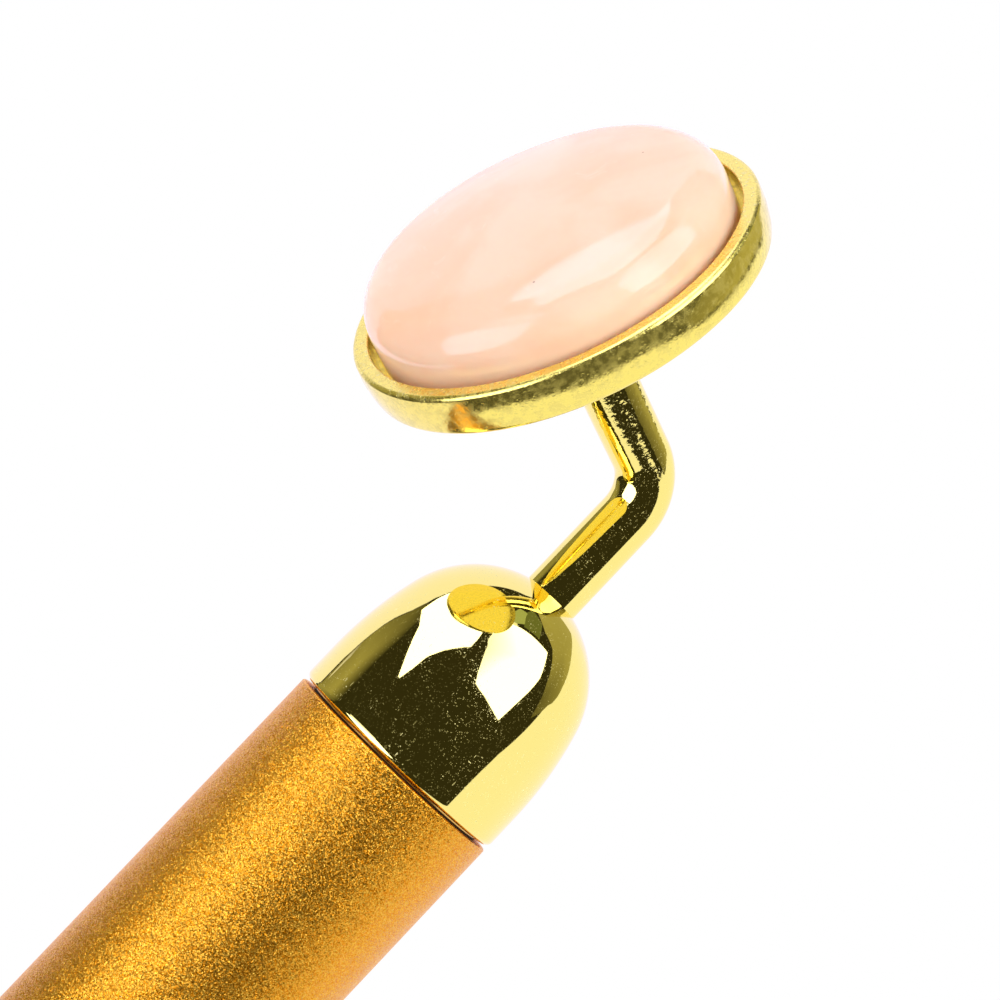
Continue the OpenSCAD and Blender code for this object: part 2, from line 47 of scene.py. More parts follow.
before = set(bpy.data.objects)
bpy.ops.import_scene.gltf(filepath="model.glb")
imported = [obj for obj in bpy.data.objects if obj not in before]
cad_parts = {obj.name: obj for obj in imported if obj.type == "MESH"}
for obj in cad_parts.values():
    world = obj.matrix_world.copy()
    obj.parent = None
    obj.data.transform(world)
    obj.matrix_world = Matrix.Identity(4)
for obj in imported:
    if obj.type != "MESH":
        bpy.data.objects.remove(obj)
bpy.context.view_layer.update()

MM = 0.001
CLEARANCE = 0.02 * MM       # between pieces that fit into each other
PLACE_SLACK = 0.1 * MM      # between a piece's box and that of the node it stands for
ON_AXIS = 1e-9              # a smaller radius is a point on the axis
HANDLE_AXIS = Vector((1, 0, 0))
ROUND_STEPS = 256
SHARP_ANGLE = math.radians(32)


def packed_ends(node):
    """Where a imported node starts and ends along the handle."""
    low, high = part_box(node)
    return low.x, high.x


def packed_radius(node):
    """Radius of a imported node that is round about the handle's axis."""
    low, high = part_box(node)
    return (high.z - low.z) / 2


# Properties

def length(name, description, default):
    return bpy.props.FloatProperty(name=name, description=description, default=default,
                                   min=0, precision=5, unit="LENGTH")


def angle(name, description, degrees):
    return bpy.props.FloatProperty(name=name, description=description,
                                   default=math.radians(degrees), subtype="ANGLE")


def colour(name, description, default):
    return bpy.props.FloatVectorProperty(name=name, description=description, default=default,
                                         size=3, min=0, max=1, subtype="COLOR")


def number(name, description, default):
    return bpy.props.FloatProperty(name=name, description=description, default=default, min=0)


class HandleSizes(bpy.types.PropertyGroup):
    radius: length("Radius", "Outer radius of the tube", packed_radius("handle_tube"))
    bore: length("Bore", "Radius of the tube's bore", 7.5 * MM)
    rear: length("Rear", "Where the tube starts, from the tail face", packed_ends("handle_tube")[0])
    front: length("Front", "Where the tube ends, from the tail face", packed_ends("handle_tube")[1])
    edge: length("Edge", "Polished break at the tube's ends", 0.14 * MM)
    cap_edge: length("Cap edge", "Rounding of the tail cap's rear edge", 1.2 * MM)
    plug: length("Plug", "How far the tail cap's plug reaches into the tube", 8 * MM)


class HeadSizes(bpy.types.PropertyGroup):
    base: length("Base", "Where the dome starts, from the tail face", packed_ends("dome")[0])
    height: length("Height", "Height of the dome, up to where its crown would close", 15.65 * MM)
    radius: length("Radius", "Radius of the dome's skirt", 8.55 * MM)
    crown: length("Crown", "Radius of the dome's round crown", 7.9 * MM)
    skirt: length("Skirt", "Height of the dome's straight skirt", 2.8 * MM)
    edge: length("Edge", "Rounding of the skirt's lower edge", 0.5 * MM)
    wall: length("Wall", "Wall of the dome at the crown", 1.3 * MM)
    roof: length("Roof", "Thickness of the dome under the stem", 2.6 * MM)
    neck: length("Neck", "Radius of the collar's neck, in the dome", 7.2 * MM)
    neck_length: length("Neck length", "How far the neck reaches into the dome", 4.5 * MM)
    collar: length("Collar", "Radius over the collar's thread", 7.45 * MM)
    collar_bore: length("Collar bore", "Radius of the collar's bore", 5.6 * MM)
    collar_length: length("Collar length", "Length of the collar below the dome", 7 * MM)
    land: length("Land", "Plain length between dome and seal", 0.6 * MM)
    seal: length("Seal", "Thickness of the seal ring", 1 * MM)
    pitch: length("Pitch", "Pitch of the collar's thread", 1 * MM)
    depth: length("Depth", "Depth of the collar's thread", 0.35 * MM)


class StemSizes(bpy.types.PropertyGroup):
    radius: length("Radius", "Radius of the stem", 2.1 * MM)
    tenon: length("Tenon", "Radius of the tenons at both ends", 1.5 * MM)
    seat: length("Seat", "Depth of the stem's seat in the dome", 0.6 * MM)
    rise: length("Rise", "Straight run from the dome's top to the bend", 7.3 * MM)
    bend_radius: length("Bend radius", "Radius of the bend at the stem's middle", 3.9 * MM)
    bend: angle("Bend", "Angle of the bend", 75.5)
    reach: length("Reach", "Straight run from the bend to the dish", 12.5 * MM)
    lean: angle("Lean", "Turn of the bent stem about the handle, from upright, as the bar lies",
                71.377)


class DishSizes(bpy.types.PropertyGroup):
    radius: length("Radius", "Radius of the rim", 14.45 * MM)
    height: length("Height", "Height of the dish", 3.15 * MM)
    rim: length("Rim", "Width of the rim", 1.2 * MM)
    draft: length("Draft", "How much smaller the back is than the rim", 0.2 * MM)
    rim_edge: length("Rim edge", "Rounding of the rim", 0.35 * MM)
    belly: length("Belly", "Radius of the slight bulge of the dish's side", 7.5 * MM)
    bulge: length("Bulge", "How far the side stands proud of the rim", 0.06 * MM)
    back_edge: length("Back edge", "Rounding of the back", 0.6 * MM)
    floor: length("Floor", "Thickness of the dish's floor", 1.2 * MM)
    stone_radius: length("Stone radius", "Radius of the stone", 12.7 * MM)
    stone_foot: length("Stone foot", "Height of the stone's underside above the dish's back",
                       1.5 * MM)
    stone_top: length("Stone top", "Height of the stone's top above the dish's back", 8.05 * MM)
    girdle: length("Girdle", "Height at which the stone starts to round over", 4.25 * MM)
    shoulder: length("Shoulder", "Radius of the stone's shoulder", 2.6 * MM)


class SpringSizes(bpy.types.PropertyGroup):
    radius: length("Radius", "Radius of the coil at the wire's middle", 5 * MM)
    wire: length("Wire", "Diameter of the wire", 0.9 * MM)
    turns: number("Turns", "Turns between the two end turns", 5)
    end_gap: length("End gap", "Gap between the wires of an end turn", 0.5 * MM)


class BarColours(bpy.types.PropertyGroup):
    anodised: colour("Anodised", "Dyed aluminium of the tube", (0.91, 0.48, 0.035))
    gold: colour("Gold", "Mirror plate of the dome and the stem", (1.0, 0.84, 0.24))
    cast_gold: colour("Cast gold", "Plate over the casting of the dish", (0.98, 0.80, 0.17))
    quartz: colour("Quartz", "The stone", (0.97, 0.585, 0.415))
    veil: colour("Veil", "Cloudy veils in the stone", (0.97, 0.65, 0.50))
    dust: colour("Dust", "Dust on the polish", (0.85, 0.80, 0.45))


class StudioSettings(bpy.types.PropertyGroup):
    aim: bpy.props.FloatVectorProperty(
        name="Aim", description="Point that the camera looks at", subtype="TRANSLATION",
        unit="LENGTH", default=(118.108 * MM, 6.920 * MM, -1.969 * MM))
    distance: length("Distance", "From the aim to the camera", 160.015 * MM)
    azimuth: angle("Azimuth", "Camera's direction round the aim, from +X towards +Y", 106.0429)
    elevation: angle("Elevation", "Camera's height above the horizon", 76.2668)
    roll: angle("Roll", "Camera's turn about its own line of sight", 117.9833)
    lens: number("Lens", "Focal length in millimetres", 83.492)
    key: number("Key", "Brightness of the large soft box", 2.9)
    side: number("Side", "Brightness of the two soft boxes at the side", 2.9)
    matt: number("Matt", "Brightness of the soft lights that matt surfaces see", 3.15)
    card: number("Card", "Brightness of the white card and of the floor's reflection", 1.0)
    gloom: number("Gloom", "Brightness of the room behind the lights", 0.03)


# Meshes

def arc(centre, radius, first, last, steps):
    """Points of an arc as (along, out), from one angle to another in degrees, ends included."""
    angles = [math.radians(first + (last - first) * k / steps) for k in range(steps + 1)]
    return [(centre[0] + radius * math.cos(a), centre[1] + radius * math.sin(a)) for a in angles]


def supported(outline, hold=0.03 * MM, short=0.18 * MM):
    """Adds a point near each end of every straight that isn't short, so that smooth shading
    stays true there."""
    points = []
    for here, there in zip(outline, outline[1:] + outline[:1]):
        points.append(here)
        run = math.dist(here, there)
        if run > short and max(here[1], there[1]) > 0:
            for share in (hold / run, 1 - hold / run):
                points.append(tuple(a + (b - a) * share for a, b in zip(here, there)))
    return points


def turned(outline, place=Matrix(), steps=ROUND_STEPS, shape=None):
    """Vertices and faces turned about +X from (along, out) points that go round a closed form.
    shape gives how far a point moves outward from its along, out and angle."""
    area = sum(a[0] * b[1] - b[0] * a[1] for a, b in zip(outline, outline[1:] + outline[:1]))
    if area < 0:
        outline = outline[::-1]
    points, faces, rows = [], [], []
    for along, out in supported(outline):
        on_axis = out < ON_AXIS
        rows.append(range(len(points), len(points) + (1 if on_axis else steps)))
        for k in range(len(rows[-1])):
            a = 2 * math.pi * k / steps
            r = out if on_axis or not shape else out + shape(along, out, a)
            points.append(place @ Vector((along, r * math.cos(a), r * math.sin(a))))
    for row, ahead in zip(rows, rows[1:] + rows[:1]):
        if len(row) == 1 and len(ahead) == 1:
            continue
        for k in range(steps):
            n = (k + 1) % steps
            ring = [row[k % len(row)], ahead[k % len(ahead)],
                    ahead[n % len(ahead)], row[n % len(row)]]
            faces.append(list(dict.fromkeys(ring)))
    return points, faces


def swept(path, radii, across, steps=96, shape=None):
    """Vertices and faces of a round bar along a path. across is a direction square to the path
    or nearly so; shape gives how far a point moves outward from its row and place."""
    points, faces = [], []
    for i, (middle, radius) in enumerate(zip(path, radii)):
        ahead, behind = path[min(i + 1, len(path) - 1)], path[max(i - 1, 0)]
        along = (ahead - behind).normalized()
        side = (across - across.dot(along) * along).normalized()
        rise = along.cross(side)
        for k in range(steps):
            a = 2 * math.pi * k / steps
            out = math.cos(a) * side + math.sin(a) * rise
            r = radius + (shape(i, middle + radius * out) if shape else 0)
            points.append(middle + r * out)
    for i in range(len(path) - 1):
        for k in range(steps):
            n = (k + 1) % steps
            faces.append([i * steps + k, i * steps + n, (i + 1) * steps + n, (i + 1) * steps + k])
    faces.append(list(range(steps))[::-1])
    faces.append([(len(path) - 1) * steps + k for k in range(steps)])
    return points, faces


def new_object(name, data):
    """An object in the scene for a mesh, a lamp or a camera."""
    made = bpy.data.objects.new(name, data)
    bpy.context.scene.collection.objects.link(made)
    return made


def piece(name, shape, finish, body, node):
    """A smooth object from vertices and faces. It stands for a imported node, whose place it has
    to keep, and rides on a body unless that is None."""
    points, faces = shape
    mesh = bpy.data.meshes.new(name)
    mesh.from_pydata([tuple(point) for point in points], [], faces)
    mesh.validate()
    mesh.shade_smooth()
    mesh.set_sharp_from_angle(angle=SHARP_ANGLE)
    mesh.materials.append(finish)
    made = new_object(name, mesh)
    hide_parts(node)
    low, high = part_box(node)
    for k in range(3):
        least, most = min(p[k] for p in points), max(p[k] for p in points)
        if max(abs(least - low[k]), abs(most - high[k])) > PLACE_SLACK:
            raise RuntimeError(f"{name} isn't where {node} is: {least} to {most} on axis {k}")
    if body:
        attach(made, body)
    return made


def dress(finish, *nodes):
    """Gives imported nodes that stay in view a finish."""
    for node in nodes:
        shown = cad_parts[node]
        if not shown.material_slots:
            shown.data.materials.append(finish)
        for slot in shown.material_slots:
            slot.material = finish


def belly(low, low_radius, high, high_radius, radius):
    """An arc that bulges outward and touches two rounded edges: the angle at which it leaves
    the first, its points between them, and the angle at which it meets the second."""
    a, b = radius - low_radius, radius - high_radius
    run = math.dist(low, high)
    along = (a * a - b * b + run * run) / (2 * run)
    drop = math.sqrt(a * a - along * along)
    u = ((high[0] - low[0]) / run, (high[1] - low[1]) / run)
    centre = (low[0] + along * u[0] + drop * u[1], low[1] + along * u[1] - drop * u[0])
    first, last = (math.degrees(math.atan2(p[1] - centre[1], p[0] - centre[0]))
                   for p in (low, high))
    return first, arc(centre, radius, first, last, 24)[1:-1], last


def placed(x_axis, y_axis, z_axis, point):
    """The place with these axes and this origin."""
    place = Matrix((x_axis, y_axis, z_axis)).transposed().to_4x4()
    place.translation = point
    return place


def bend_frame(stem, head):
    """The direction in which the stem leans, the one across it, where the bend starts, and the
    dish's place."""
    lean = Vector((0, math.sin(stem.lean), math.cos(stem.lean)))
    across = HANDLE_AXIS.cross(lean)
    start = HANDLE_AXIS * (head.base + head.height + stem.rise)
    out = math.cos(stem.bend) * HANDLE_AXIS + math.sin(stem.bend) * lean
    end = (start + lean * stem.bend_radius * (1 - math.cos(stem.bend))
           + HANDLE_AXIS * stem.bend_radius * math.sin(stem.bend))
    place = placed(out, across.cross(out), across, end + out * stem.reach)
    return lean, across, start, place


# Finishes

class Wire:
    """A node's output. Arithmetic written on it adds the nodes that do it, which are Vector
    Math nodes as soon as a colour or a vector takes part."""

    def __init__(self, finish, socket):
        self.finish = finish
        self.socket = socket

    def joined(self, operation, other, swapped=False):
        first, second = (other, self) if swapped else (self, other)
        kinds = {wire.socket.type for wire in (first, second) if isinstance(wire, Wire)}
        if kinds & {"RGBA", "VECTOR"}:
            return self.finish.add("ShaderNodeVectorMath", {"operation": operation},
                                   {0: spread(first), 1: spread(second)})
        return self.finish.add("ShaderNodeMath", {"operation": operation}, {0: first, 1: second})

    def __add__(self, other):
        return self.joined("ADD", other)

    def __radd__(self, other):
        return self.joined("ADD", other, True)

    def __sub__(self, other):
        return self.joined("SUBTRACT", other)

    def __rsub__(self, other):
        return self.joined("SUBTRACT", other, True)

    def __mul__(self, other):
        return self.joined("MULTIPLY", other)

    def __rmul__(self, other):
        return self.joined("MULTIPLY", other, True)

    def step(self, low, high):
        """0 below low, 1 above high, and smooth between; falls instead if low is above high."""
        return self.finish.add("ShaderNodeMapRange", {"interpolation_type": "SMOOTHSTEP"},
                               {"Value": self, "From Min": low, "From Max": high})

    def part(self, name):
        """One part of a vector, X, Y or Z."""
        return self.finish.add("ShaderNodeSeparateXYZ", {}, {"Vector": self}, output=name)

    def red(self):
        return self.finish.add("ShaderNodeSeparateColor", {}, {"Color": self}, output="Red")


def spread(value):
    """A number as a vector of three equal parts."""
    return (value, value, value) if isinstance(value, (int, float)) else value


class Finish:
    """A material whose nodes are added one by one in front of its surface shader."""

    def __init__(self, name):
        self.material = bpy.data.materials.new(name)
        self.material.use_nodes = True
        self.tree = self.material.node_tree
        self.tree.nodes.clear()

    def add(self, kind, settings=None, inputs=None, output=0):
        """A node of a type: its settings first, then values or wires for its sockets."""
        node = self.tree.nodes.new(kind)
        for key, value in (settings or {}).items():
            setattr(node, key, value)
        for key, value in (inputs or {}).items():
            socket = node.inputs[key]
            if isinstance(value, Wire):
                self.tree.links.new(value.socket, socket)
            elif socket.type == "RGBA":
                socket.default_value = (*spread(value), 1)
            else:
                socket.default_value = value
        return Wire(self, node.outputs[output]) if node.outputs else None

    def mix(self, factor, first, second):
        """Two colours mixed."""
        return self.add("ShaderNodeMix", {"data_type": "RGBA"}, {0: factor, 6: first, 7: second},
                        output=2)

    def millimetres(self, stretch=(1, 1, 1)):
        """The place on the piece, in millimetres."""
        place = self.add("ShaderNodeTexCoord", output="Object")
        return place * tuple(share / MM for share in stretch)

    def height(self, place, seat):
        """Height of the place over a seat, in millimetres along the seat's own X."""
        return self.add("ShaderNodeVectorMath", {"operation": "DOT_PRODUCT"},
                        {0: place - tuple(seat.to_translation() / MM),
                         1: tuple(seat.to_3x3().col[0])}, output="Value")

    def noise(self, place, scale, detail=2.0, rough=0.5, warp=0.0):
        """Cloudy noise from 0 to 1, whose waves are about 1 / scale millimetres long."""
        return self.add("ShaderNodeTexNoise", {},
                        {"Vector": place, "Scale": scale, "Detail": detail, "Roughness": rough,
                         "Distortion": warp})

    def cells(self, place, scale, output):
        """Cells of about 1 / scale millimetres: the distance to their middle, or their colour."""
        return self.add("ShaderNodeTexVoronoi", {}, {"Vector": place, "Scale": scale},
                        output=output)

    def grains(self, place, scale):
        """Cells that each have their own value from 0 to 1."""
        return self.cells(place, scale, "Color").red()

    def facets(self, place, scale, tilt):
        """A normal that leans another way in each cell."""
        straight = self.add("ShaderNodeNewGeometry", output="Normal")
        lean = self.cells(place, scale, "Color") - 0.5
        return self.add("ShaderNodeVectorMath", {"operation": "NORMALIZE"},
                        {0: straight + lean * tilt})

    def specks(self, place, scale, size):
        """Dots of uneven size, one at most in each cell."""
        away = self.cells(place, scale, "Distance")
        chance = self.grains(place, scale)
        return (chance * chance * chance * size - away).step(0, size * 0.15)

    def bump(self, height, depth, strength=1.0):
        """A normal that rises and falls with height, at most depth metres."""
        return self.add("ShaderNodeBump", {},
                        {"Height": height, "Distance": depth, "Strength": strength},
                        output="Normal")

    def closed(self, shader):
        """The material, once its surface shader is wired to its output."""
        self.add("ShaderNodeOutputMaterial", {}, {"Surface": shader})
        return self.material

    def done(self, **sockets):
        """The material with the usual surface shader, whose sockets are named as words."""
        inputs = {key.replace("_", " "): value for key, value in sockets.items()}
        return self.closed(self.add("ShaderNodeBsdfPrincipled", {}, inputs))


def tinted(shade, shares):
    """A colour with its parts multiplied by shares, and none above 1."""
    return tuple(min(1, part * share) for part, share in zip(shade, shares))


def satin_anodised(colours):
    """Bead-blasted and dyed aluminium, whose fine grains each face another way and sparkle, and
    whose light and dark grain tones are partly painted sparkle and shade.
    """
    f = Finish("satin_anodised")
    place = f.millimetres()
    # The grain tones are partly the metal's own grain and partly painted sparkle and shade: light
    # grains whitened as if they catch the lights, dark grains as if turned away.
    deep = tinted(colours.anodised, (0.90, 0.54, 0.04))
    grain_and_painted_sparkle = tinted(colours.anodised, (1.1, 1.17, 1.6))
    pale_lint = (1.0, 0.8, 0.45)
    shade = f.mix(f.grains(place, 20.0).step(0.2, 0.9), deep, grain_and_painted_sparkle)
    shade = f.mix(f.specks(place, 0.5, size=0.07) * 0.5, shade, pale_lint)
    return f.done(Base_Color=shade, Metallic=1.0, Roughness=0.33,
                  Normal=f.facets(place, 17.5, tilt=0.60))


def mirror_gold(colours, name="mirror_gold", peel=None):
    """Polished plate with fine dust and short wiping marks. peel gives the height of an uneven
    skin, in metres, from the finish and the place on the piece."""
    f = Finish(name)
    place = f.millimetres()
    patches = 0.25 + f.noise(place, 0.45, detail=3.0).step(0.44, 0.62) * 0.75
    fine = f.specks(place, 10.0, size=0.6)
    coarse = f.specks(place, 4.0, size=0.2)
    wiped_along = f.specks(f.millimetres((0.35, 1.5, 1.5)), 2.6, size=0.22)
    wiped_across = f.specks(f.millimetres((1.5, 0.35, 1.5)), 2.6, size=0.22)
    marks = (fine * 0.22 + coarse * 0.5 + (wiped_along + wiped_across) * 0.5) * patches
    skin = f.noise(place, 0.9, detail=1.0) * 0.0005 * MM
    if peel:
        skin = skin + peel(f, place)
    return f.done(Base_Color=f.mix(marks, colours.gold, colours.dust), Metallic=1 - marks,
                  Roughness=0.03 + marks * 0.5, Normal=f.bump(skin, 1.0))


def cast_gold(colours, place_of_dish):
    """Plate over a casting that was polished quickly: mottled sides and a pitted rim."""
    f = Finish("cast_gold")
    place = f.millimetres()
    height = f.height(place, place_of_dish)
    face = height.step(2.85, 3.10)
    back = height.step(0.25, 0.05)
    mottle = f.noise(place, 1.6, detail=4.0, rough=0.6)
    fine = f.noise(place, 6.0)
    pits = f.specks(place, 3.6, size=0.6) * (0.15 + face * 0.85)
    worn = mottle.step(0.42, 0.62)
    worn_plate = (0.68, 0.56, 0.16)
    shade = f.mix(worn * 0.3, colours.cast_gold, worn_plate)
    shade = f.mix(pits * 0.25, shade, colours.dust)
    skin = (mottle * 0.011 * MM + fine * (0.0025 * MM + face * 0.006 * MM)
            - pits * 0.02 * MM) * (1 - back)
    return f.done(Base_Color=shade, Metallic=0.92 - worn * 0.12 - pits * 0.1 + back * 0.06,
                  Roughness=0.08 + worn * 0.12 + face * 0.14, Normal=f.bump(skin, 1.0))


def rose_quartz(colours, place_of_dish):
    """Polished translucent quartz with cloudy veils, and painted light at its lower edge by the
    rim, which lifts the shade there.
    """
    f = Finish("rose_quartz")
    place = f.millimetres()
    clouds = f.noise(place, 0.13, detail=3.0, warp=0.5)
    threads = f.noise(f.millimetres((1, 0.35, 0.6)), 0.5, detail=5.0, rough=0.6, warp=1.2)
    # Painted light: low down beside the rim the stone is made lighter and pinker, to lift the shade
    # that the rim and the gap cast there.
    edge = f.height(place, place_of_dish).step(4.0, 3.2)
    pale_thread, painted_edge_light, dark_speck = (1.0, 0.85, 0.78), (1.0, 0.66, 0.48), (0.40, 0.22, 0.16)
    shade = f.mix(clouds.step(0.35, 0.65), colours.quartz, colours.veil)
    shade = f.mix(threads.step(0.6, 0.75) * 0.2, shade, pale_thread)
    shade = f.mix(edge * 0.6, shade, painted_edge_light)
    shade = f.mix(f.specks(place, 0.5, size=0.06) * 0.7, shade, dark_speck)
    return f.done(Base_Color=shade, Roughness=0.09, IOR=1.54, Specular_IOR_Level=0.4,
                  Subsurface_Weight=0.6, Subsurface_Radius=(1.0, 0.62, 0.5),
                  Subsurface_Scale=2 * MM)


def collar_with_painted_seam_shade(name, shade, base):
    """Turned brass whose land, which ends at base, is painted near black just below the dome:
    painted shade for the seam between dome and tube.
    """
    f = Finish(name)
    # Painted shade: near black and not metallic for the land that shows in the seam, where little
    # light gets in.
    painted_seam_shade = (0.012, 0.010, 0.006)
    marks = f.noise(f.millimetres((3, 1, 1)), 5.0, detail=3.0, rough=0.6)
    along = f.millimetres().part("X") - base / MM
    seam_shade_mask = along.step(-1.1, -0.8) * along.step(-0.10, -0.15) * (0.9 + marks * 0.1)
    return f.done(Base_Color=f.mix(seam_shade_mask, shade, painted_seam_shade), Metallic=1 - seam_shade_mask,
                  Roughness=0.2 + marks * 0.1 + seam_shade_mask * 0.4, Specular_IOR_Level=0.1,
                  Normal=f.bump(marks, 0.004 * MM, 0.5))


def worked_metal(name, shade, rough=0.25, grain=6.0, stretch=(1, 1, 1), depth=0.004):
    """Machined, drawn or pressed metal with slight staining, and grain depth millimetres deep."""
    f = Finish(name)
    marks = f.noise(f.millimetres(stretch), grain, detail=3.0, rough=0.6)
    stain = f.noise(f.millimetres(), 0.35).step(0.35, 0.7)
    stained = tuple(0.62 * part for part in shade)
    return f.done(Base_Color=f.mix(stain * 0.35, shade, stained), Metallic=1.0,
                  Roughness=rough * 0.7 + marks * rough * 0.7,
                  Normal=f.bump(marks, depth * MM, 0.5))


def moulded(name, shade, rough=0.45, grain=5.0, depth=0.006):
    """Moulded plastic or rubber with an uneven shade, and a fine skin depth millimetres deep."""
    f = Finish(name)
    skin = f.noise(f.millimetres(), grain)
    patches = f.noise(f.millimetres(), 0.4).step(0.4, 0.7)
    faded = tuple(0.75 * part + 0.02 for part in shade)
    return f.done(Base_Color=f.mix(patches * 0.4, shade, faded),
                  Roughness=rough * 0.8 + skin * rough * 0.4,
                  Normal=f.bump(skin, depth * MM, 0.4))


# Operators

def settings(context):
    return context.scene.beauty_bar


class MakeTube(bpy.types.Operator):
    """Turns the satin tube, with a polished break at both ends"""

    bl_idname = "beauty_bar.make_tube"
    bl_label = "Tube"

    def execute(self, context):
        size = settings(context).handle
        e = size.edge
        inner = 0.2 * MM
        outline = [
            (size.rear, size.bore + inner), (size.rear + inner, size.bore),
            (size.front - inner, size.bore), (size.front, size.bore + inner),
            *arc((size.front - e, size.radius - e), e, 0, 90, 12),
            *arc((size.rear + e, size.radius - e), e, 90, 180, 12)]
        piece("satin_tube", turned(outline), satin_anodised(settings(context).colours),
              "handle", "handle_tube")
        return {"FINISHED"}


class MakeTailCap(bpy.types.Operator):
    """Turns the tail cap, with its plug in the tube"""

    bl_idname = "beauty_bar.make_tail_cap"
    bl_label = "Tail cap"

    def execute(self, context):
        size = settings(context).handle
        r, e, face = size.radius, size.cap_edge, size.rear
        brim = 0.15 * MM
        plug_end, plug_r, plug_bore = face + size.plug, size.bore - CLEARANCE, size.bore - 1.2 * MM
        outline = [
            (0, 0),
            *arc((e, r - e), e, 180, 90, 24),
            (face - brim, r), (face, r - brim),
            (face, plug_r), (plug_end, plug_r), (plug_end, plug_bore), (face, plug_bore),
            (face, 0)]
        piece("end_cap", turned(outline), mirror_gold(settings(context).colours, "cap_gold"),
              "handle", "tail_cap")
        return {"FINISHED"}


class MakeSpring(bpy.types.Operator):
    """Winds the tail spring at one length, though in the bar it stretches as the cell follows the
    head
    """

    bl_idname = "beauty_bar.make_spring"
    bl_label = "Tail spring"

    def execute(self, context):
        size = settings(context).spring
        up, across, *_ = bend_frame(settings(context).stem, settings(context).head)
        low, high = packed_ends("tail_spring")
        run = high - low - size.wire
        end_pitch = size.wire + size.end_gap
        pitch = (run - 2 * end_pitch) / size.turns
        whole = size.turns + 2
        steps_per_turn = 48
        path = []
        for k in range(int(whole * steps_per_turn) + 1):
            turn = k / steps_per_turn
            if turn < 1:
                rise = turn * end_pitch
            elif turn > whole - 1:
                rise = run - (whole - turn) * end_pitch
            else:
                rise = end_pitch + (turn - 1) * pitch
            a = 2 * math.pi * turn
            path.append(Vector((low + size.wire / 2 + rise, 0, 0))
                        + size.radius * (math.cos(a) * up - math.sin(a) * across))
        radii = [size.wire / 2] * len(path)
        made = piece("coil_spring", swept(path, radii, HANDLE_AXIS, steps=20),
                     worked_metal("spring_steel", (0.66, 0.66, 0.66), 0.22, grain=9.0),
                     None, "tail_spring")
        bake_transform(made)
        return {"FINISHED"}


class MakeCollar(bpy.types.Operator):
    """Cuts the collar's thread, and lays the seal ring in its groove"""

    bl_idname = "beauty_bar.make_collar"
    bl_label = "Thread collar and seal"

    def execute(self, context):
        size = settings(context).head
        foot = size.base - size.collar_length
        groove_top = size.base - size.land
        groove_foot = groove_top - size.seal - 2 * CLEARANCE
        groove = size.collar - size.seal - CLEARANCE
        tip, run_out, hair = 0.4 * MM, 0.3 * MM, 1e-7
        first, last = foot + tip, groove_foot - run_out
        crest, slope = 0.25, 0.5
        rows = 110
        thread = [(first + (last - first) * k / rows, size.collar) for k in range(rows + 1)]
        outline = [
            (foot, size.collar_bore), (foot, size.collar - tip), *thread,
            (groove_foot, size.collar), (groove_foot, groove), (groove_top, groove),
            (groove_top, size.collar), (size.base, size.collar), (size.base, size.neck),
            (size.base + size.neck_length, size.neck),
            (size.base + size.neck_length, size.collar_bore)]

        def cut(along, out, turn):
            if out < size.collar - hair or along > last + hair:
                return 0
            phase = ((along - foot) / size.pitch - turn / (2 * math.pi)) % 1
            flank = abs(phase - 0.5) * 2
            valley = max(0.0, min(1.0, (flank - crest) / slope))
            fade = min(1.0, 2 * (last - along) / size.pitch)
            return -size.depth * valley * fade

        piece("threaded_collar", turned(outline, shape=cut),
              collar_with_painted_seam_shade("turned_brass", (0.90, 0.55, 0.14), size.base),
              "head", "thread_collar")
        middle = (groove_top + groove_foot) / 2
        ring = arc((middle, size.collar - size.seal / 2), size.seal / 2, 0, 360, 32)[:-1]
        piece("rubber_seal", turned(ring), moulded("greased_rubber", (0.02, 0.02, 0.022), 0.3),
              "head", "seal_ring")
        return {"FINISHED"}


class MakeDome(bpy.types.Operator):
    """Turns the hollow mirror-gold dome"""

    bl_idname = "beauty_bar.make_dome"
    bl_label = "Dome"

    def execute(self, context):
        size, stem = settings(context).head, settings(context).stem
        base, edge = size.base, size.edge
        crown_at = base + size.height - size.crown
        rise = size.height - size.crown - size.skirt
        side_r = ((size.radius ** 2 + rise ** 2 - size.crown ** 2)
                  / (2 * (size.radius - size.crown)))
        tangent = math.degrees(math.asin(rise / (side_r - size.crown)))
        seat_r, hole_r, neck_r = (r + CLEARANCE for r in (stem.radius, stem.tenon, size.neck))
        top = base + size.height
        seat, roof, shelf = top - stem.seat, top - size.roof, base + size.neck_length
        cavity = size.crown - size.wall
        lip = math.degrees(math.asin(seat_r / size.crown))
        roof_turn = math.degrees(math.acos((roof - crown_at) / cavity))
        outline = [
            (base, neck_r),
            *arc((base + edge, size.radius - edge), edge, 180, 90, 24),
            *arc((base + size.skirt, size.radius - side_r), side_r, 90, 90 - tangent, 48),
            *arc((crown_at, 0), size.crown, 90 - tangent, lip, 96)[1:],
            (seat, seat_r), (seat, hole_r), (roof, hole_r),
            *arc((crown_at, 0), cavity, roof_turn, 90, 48),
            (shelf, cavity), (shelf, neck_r)]
        piece("polished_dome", turned(outline, steps=384), mirror_gold(settings(context).colours),
              "head", "dome")
        return {"FINISHED"}


